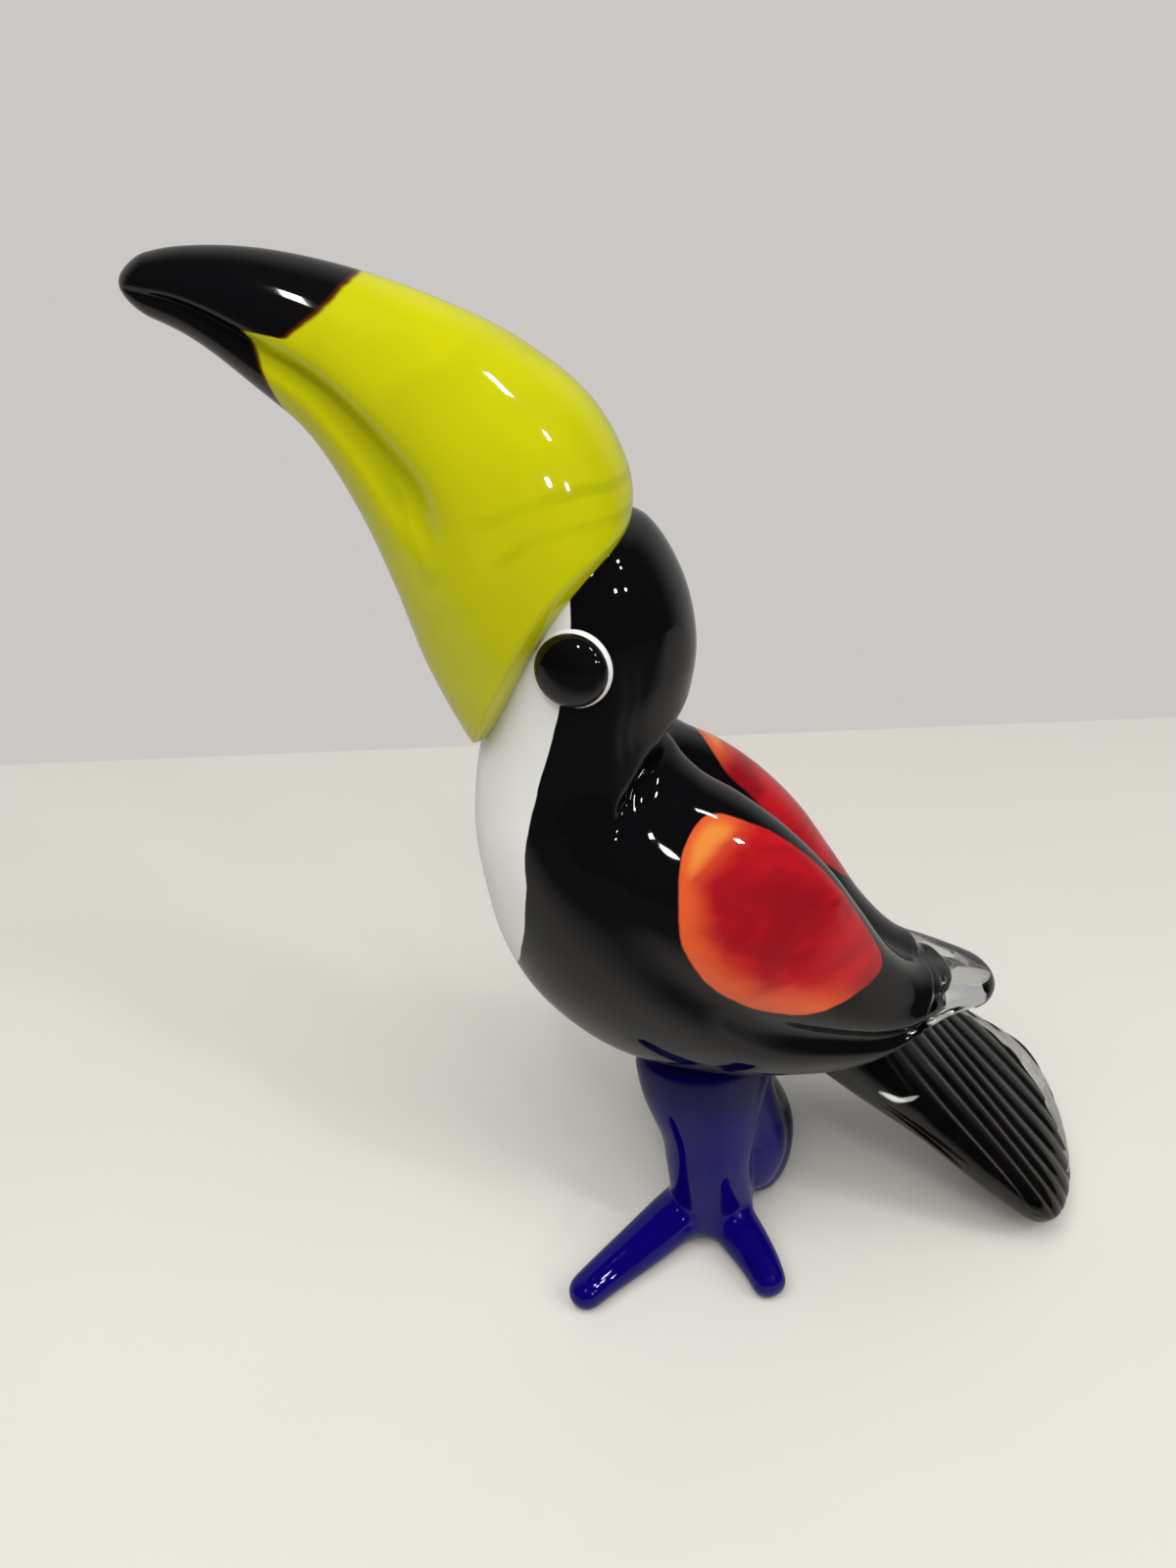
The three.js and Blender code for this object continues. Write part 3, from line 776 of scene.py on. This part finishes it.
class TOUCAN_OT_body(bpy.types.Operator):
    """Builds the body with its wings, bib and wing patches"""

    bl_idname = "toucan.body"
    bl_label = "Body"

    def execute(self, context):
        bm = bmesh.new()
        loft_mesh(bm, self.point, rings=230, around=192)
        glass = body_glass(context.scene.toucan_colours)
        self.mark_colours(finish_piece(bm, "glass_body", "black_glass", glass, "body").data)
        return {"FINISHED"}

    @staticmethod
    def point(phi, theta):
        t = place_along(phi)
        at = t * CORE_END
        keep = round_ends(t, BODY_ENDS[0] / CORE_END, CORE_NOSE)
        return body_point(at, theta, keep * (1 - CORE_WAIST * smooth(*CORE_WAIST_FADE, at)))

    @staticmethod
    def mark_colours(mesh):
        """Stores how deep each point lies inside the bib and the wing patches."""
        along = get_layer(mesh, "along") * CORE_END
        angle = get_layer(mesh, "angle")
        place = np.stack([along, np.abs(angle)], 1)
        wing = np.array([BODY_LENGTH, PATCH_RADIUS])
        near, far = (depth_inside(place * wing, smooth_ring(patch) * wing)
                     for patch in (NEAR_PATCH, FAR_PATCH))
        breast = np.array([BODY_LENGTH, BIB_RADIUS])
        edge = [station_at(BIB_EDGE, k / BIB_STEPS) for k in range(BIB_STEPS + 1)]
        bib = depth_inside(place * breast, np.array(edge + BIB_CORNERS) * breast)
        set_layer(mesh, "along", along)
        set_layer(mesh, "patch", np.where(angle > 0, near, far) * MM)
        set_layer(mesh, "bib", bib * MM)


class TOUCAN_OT_wing_tip(bpy.types.Operator):
    """Builds the clear glass that runs out past the black at the wing tip"""

    bl_idname = "toucan.wing_tip"
    bl_label = "Wing tip"

    def execute(self, context):
        bm = bmesh.new()
        loft_mesh(bm, self.point, rings=90, around=128)
        finish_piece(bm, "clear_wing_tip", "black_glass", clear_glass(context.scene.toucan_colours))
        return {"FINISHED"}

    @staticmethod
    def point(phi, theta):
        t = place_along(phi)
        at = SKIN_FROM + (1 - SKIN_FROM) * t
        keep = min(round_end(1 - at, BODY_ENDS[1]), round_end(t, SKIN_ROOT))
        sunk = SKIN_SUNK * (1 - smooth(*SKIN_RISE, at))
        proud = SKIN_PROUD * (2 * smooth(*SKIN_CROSSING, at) - 1)
        half_width = station_at(BODY, at)[4]
        return body_point(at, theta, keep * (1 + (proud - sunk) / half_width))


class TOUCAN_OT_bill(bpy.types.Operator):
    """Builds the bill with its mouth groove, streaks and black tip"""

    bl_idname = "toucan.bill"
    bl_label = "Bill"

    def execute(self, context):
        bm = bmesh.new()
        loft_mesh(bm, self.point, rings=200, around=160)
        glass = bill_glass(context.scene.toucan_colours)
        mesh = finish_piece(bm, "glass_bill", "yellow_glass", glass, "bill").data
        along = get_layer(mesh, "along")
        angle = np.abs(get_layer(mesh, "angle"))
        rings, shown = streak_rings(along, angle)
        set_layer(mesh, "tip", past_tip_edge(along, angle) * MM)
        set_layer(mesh, "streak", rings * MM)
        set_layer(mesh, "streaked", shown)
        return {"FINISHED"}

    @staticmethod
    def point(phi, theta):
        t = place_along(phi)
        return bill_point(t, theta, round_ends(t, *BILL_ENDS))


class TOUCAN_OT_eyes(bpy.types.Operator):
    """Builds the two white eye discs and their black domes"""

    bl_idname = "toucan.eyes"
    bl_label = "Eyes"

    def execute(self, context):
        sizes, colours = context.scene.toucan_sizes, context.scene.toucan_colours
        white = plain_glass("white_glass", colours.white, scaled(colours.white, 0.95))
        black = plain_glass("eye_glass", colours.black, scaled(colours.black, 0.6), roughness=0.02)
        for side_name, side in (("left", 1), ("right", -1)):
            out = Vector((EYE_OUT.x, EYE_OUT.y * side, EYE_OUT.z))
            middle = to_frame((EYE_AT.x, EYE_AT.y * side, EYE_AT.z))
            self.pill(f"eye_disc_{side_name}", middle, out, sizes.eye_disc, sizes.eye_disc_depth,
                      white, "white_glass", f"eye_white_{side_name}")
            self.pill(f"eye_dome_{side_name}", middle + out * sizes.eye_dome_out, out, sizes.eye_dome,
                      sizes.eye_dome_depth, black, "eye_glass", f"eye_black_{side_name}")
        return {"FINISHED"}

    def pill(self, name, middle, out, radius, depth, material, slot, cad_node):
        """A flattened ball that looks along a direction."""
        bm = bmesh.new()
        bmesh.ops.create_uvsphere(bm, u_segments=72, v_segments=48, radius=1)
        bmesh.ops.scale(bm, vec=(radius, radius, depth), verts=bm.verts)
        bmesh.ops.rotate(bm, verts=bm.verts, matrix=out.to_track_quat("Z", "Y").to_matrix())
        bmesh.ops.translate(bm, vec=middle, verts=bm.verts)
        finish_piece(bm, name, slot, material, cad_node)


class TOUCAN_OT_tail(bpy.types.Operator):
    """Builds the black feathers of the tail, the clear casing over them and the white crescent of
    painted light
    """

    bl_idname = "toucan.tail"
    bl_label = "Tail"

    def execute(self, context):
        sizes, colours = context.scene.toucan_sizes, context.scene.toucan_colours
        rib_step, rib_depth = sizes.rib_step / MM, sizes.rib_depth / MM
        notch, casing = sizes.feather_notch / MM, sizes.casing / MM

        def feathers(phi, theta):
            return feathers_point(place_along(phi), theta, notch, casing, rib_step)

        def clear(phi, theta):
            t = place_along(phi)
            depth = rib_depth * smooth(*RIB_FADE, t)
            return tail_point(t, theta, round_ends(t, *TAIL_ENDS), rib_step, depth)

        def crescent(phi, theta):
            a, place, height, radius = station_at(CRESCENT, place_along(phi))
            radius *= math.sin(phi) ** CRESCENT_TAPER
            return on_tail(a, place + radius * math.cos(theta), height + radius * math.sin(theta))

        bm = bmesh.new()
        loft_mesh(bm, feathers, rings=220, around=160)
        finish_piece(bm, "tail_feathers", "tail_glass", core_glass("feather_glass", colours))
        bm = bmesh.new()
        loft_mesh(bm, clear, rings=130, around=200)
        finish_piece(bm, "tail_casing", "tail_glass", clear_glass(colours), "tail")
        bm = bmesh.new()
        loft_mesh(bm, crescent, rings=40, around=20)
        # The crescent is painted light: white glass where light shines through the clear gap of the
        # casing
        crescent_light = plain_glass("crescent_painted_light", colours.white, scaled(colours.white, 0.9))
        finish_piece(bm, "tail_painted_light", "white_glass", crescent_light)
        return {"FINISHED"}


class TOUCAN_OT_legs(bpy.types.Operator):
    """Builds the fused cobalt legs and toes"""

    bl_idname = "toucan.legs"
    bl_label = "Legs"

    def execute(self, context):
        bm = bmesh.new()
        for rows in LIMBS.values():
            loft_mesh(bm, lambda phi, theta, rows=rows: limb_point(rows, place_along(phi), theta),
                      rings=48, around=40)
        glass = cobalt_glass(context.scene.toucan_colours)
        piece = finish_piece(bm, "glass_legs", "cobalt_glass", glass, "legs")
        self.fuse(context, piece)
        return {"FINISHED"}

    def fuse(self, context, piece):
        """Melts the limbs into one skin and lays its lowest points on the table."""
        melt = piece.modifiers.new("melt", "REMESH")
        melt.mode = "VOXEL"
        melt.voxel_size = context.scene.toucan_sizes.leg_grid
        soften = piece.modifiers.new("soften", "SMOOTH")
        soften.factor = 0.5
        soften.iterations = LEG_SOFTENING
        context.view_layer.update()
        fused = bpy.data.meshes.new_from_object(piece.evaluated_get(context.evaluated_depsgraph_get()))
        piece.modifiers.clear()
        bm = bmesh.new()
        bm.from_mesh(fused)
        for vert in bm.verts:
            vert.co.z = max(vert.co.z, 0.0)
        bm.to_mesh(piece.data)
        bm.free()
        bpy.data.meshes.remove(fused)
        piece.data.shade_smooth()


class TOUCAN_OT_stage(bpy.types.Operator):
    """Builds the pale table, the studio light and the camera"""

    bl_idname = "toucan.stage"
    bl_label = "Stage"

    def execute(self, context):
        self.table()
        self.surroundings(context)
        self.lamps()
        self.camera(context)
        context.scene.view_settings.view_transform = "Standard"
        return {"FINISHED"}

    def table(self):
        wide, deep = TABLE_HALF_SIZE
        bm = bmesh.new()
        bmesh.ops.create_grid(bm, x_segments=1, y_segments=1, size=1)
        bmesh.ops.scale(bm, vec=(wide, deep, 1), verts=bm.verts)
        bmesh.ops.translate(bm, vec=(0, TABLE_FAR_EDGE - deep, 0), verts=bm.verts)
        mesh = bpy.data.meshes.new("table")
        bm.to_mesh(mesh)
        bm.free()
        mesh.materials.append(self.table_top())
        table = bpy.data.objects.new("table", mesh)
        bpy.context.scene.collection.objects.link(table)

    def table_top(self):
        """Pale and matt, and darker in mirror rays with painted shade, most of all towards the front."""
        material, tree, shader = new_glass("table_top", roughness=0.35)
        pale = mix(tree, noise(tree, scale=6, detail=3), TABLE_PALE, TABLE_PALER)
        # Painted shade: in mirror rays the table's colour is darkened towards the front
        mirrored = node(tree, "ShaderNodeLightPath").outputs["Is Glossy Ray"]
        dim = math_node(tree, "MULTIPLY", ramp(tree, place_parts(tree)["Y"], *TABLE_DIM_Y, *TABLE_DIM),
                        mirrored)
        tree.links.new(mix(tree, dim, pale, TABLE_DIMMED), shader.inputs["Base Color"])
        return material

    def surroundings(self, context):
        """A pale wall colour behind the table, and a dim room in front of it for the reflections."""
        world = bpy.data.worlds.new("room")
        world.use_nodes = True
        tree = world.node_tree
        wall = tree.nodes["Background"]
        wall.inputs["Color"].default_value = (*WALL, 1)
        coords = node(tree, "ShaderNodeTexCoord").outputs["Generated"]
        way = node(tree, "ShaderNodeSeparateXYZ", {0: coords}).outputs
        glow = ramp(tree, way["Y"], *ROOM_Y, *ROOM_STRENGTH)
        room = node(tree, "ShaderNodeBackground", {"Color": (*ROOM, 1), "Strength": glow})
        path = node(tree, "ShaderNodeLightPath").outputs
        low = ramp(tree, way["Z"], *WALL_THROUGH_Z)
        through = math_node(tree, "MULTIPLY", path["Is Transmission Ray"], low)
        wall_seen = math_node(tree, "MAXIMUM", path["Is Camera Ray"], through)
        both = node(tree, "ShaderNodeMixShader", {0: wall_seen, 1: room.outputs[0], 2: wall.outputs[0]})
        tree.links.new(both.outputs[0], tree.nodes["World Output"].inputs["Surface"])
        context.scene.world = world

    def lamps(self):
        """A broad soft light overhead, and small ceiling panels that show as highlights."""
        self.lamp("overhead", place=(-0.5, -0.7, 1.9), size=(1.8, 1.6), power=42, glossy=False)
        self.lamp("side_fill", place=(1.3, -0.6, 1.3), size=(1.2, 1.2), power=9, glossy=False)
        for k, (azimuth, elevation, wide, high, power) in enumerate(PANELS):
            a, e = math.radians(azimuth), math.radians(elevation)
            away = Vector((math.sin(a) * math.cos(e), -math.cos(a) * math.cos(e), math.sin(e)))
            self.lamp(f"panel_{k}", PANELS_MIDDLE + PANELS_AWAY * away, (wide, high), power, glossy=True)

    def lamp(self, name, place, size, power, glossy):
        light = bpy.data.lights.new(name, "AREA")
        light.shape = "RECTANGLE"
        light.size, light.size_y = size
        light.energy = power
        light.color = LAMPLIGHT
        lamp = bpy.data.objects.new(name, light)
        lamp.location = place
        lamp.rotation_euler = (LAMPS_AIM - Vector(place)).to_track_quat("-Z", "Y").to_euler()
        lamp.visible_glossy = glossy
        lamp.visible_camera = False
        bpy.context.scene.collection.objects.link(lamp)

    def camera(self, context):
        lens = bpy.data.cameras.new("camera")
        lens.sensor_fit = "AUTO"
        lens.sensor_width = CAMERA_SENSOR
        lens.lens = CAMERA_LENS
        camera = bpy.data.objects.new("camera", lens)
        camera.location = CAMERA_AT
        camera.rotation_euler = CAMERA_TURN
        context.scene.collection.objects.link(camera)
        context.scene.camera = camera


class TOUCAN_PT_panel(bpy.types.Panel):
    """Lists the figurine's settings and pieces"""

    bl_label = "Glass toucan"
    bl_space_type = "VIEW_3D"
    bl_region_type = "UI"
    bl_category = "Toucan"

    def draw(self, context):
        for group in (context.scene.toucan_sizes, context.scene.toucan_colours):
            box = self.layout.box()
            for key in group.__annotations__:
                box.prop(group, key)
        for piece in PIECES:
            self.layout.operator(piece.bl_idname)


PIECES = (TOUCAN_OT_body, TOUCAN_OT_wing_tip, TOUCAN_OT_bill, TOUCAN_OT_eyes, TOUCAN_OT_tail,
          TOUCAN_OT_legs, TOUCAN_OT_stage)
CLASSES = (ToucanSizes, ToucanColours, *PIECES, TOUCAN_PT_panel)


def register():
    for kind in CLASSES:
        bpy.utils.register_class(kind)
    bpy.types.Scene.toucan_sizes = PointerProperty(type=ToucanSizes)
    bpy.types.Scene.toucan_colours = PointerProperty(type=ToucanColours)


def unregister():
    del bpy.types.Scene.toucan_colours
    del bpy.types.Scene.toucan_sizes
    for kind in reversed(CLASSES):
        bpy.utils.unregister_class(kind)


def main():
    register()
    bpy.ops.toucan.body()
    bpy.ops.toucan.wing_tip()
    bpy.ops.toucan.bill()
    bpy.ops.toucan.eyes()
    bpy.ops.toucan.tail()
    bpy.ops.toucan.legs()
    bpy.ops.toucan.stage()


if __name__ == "__main__":
    main()
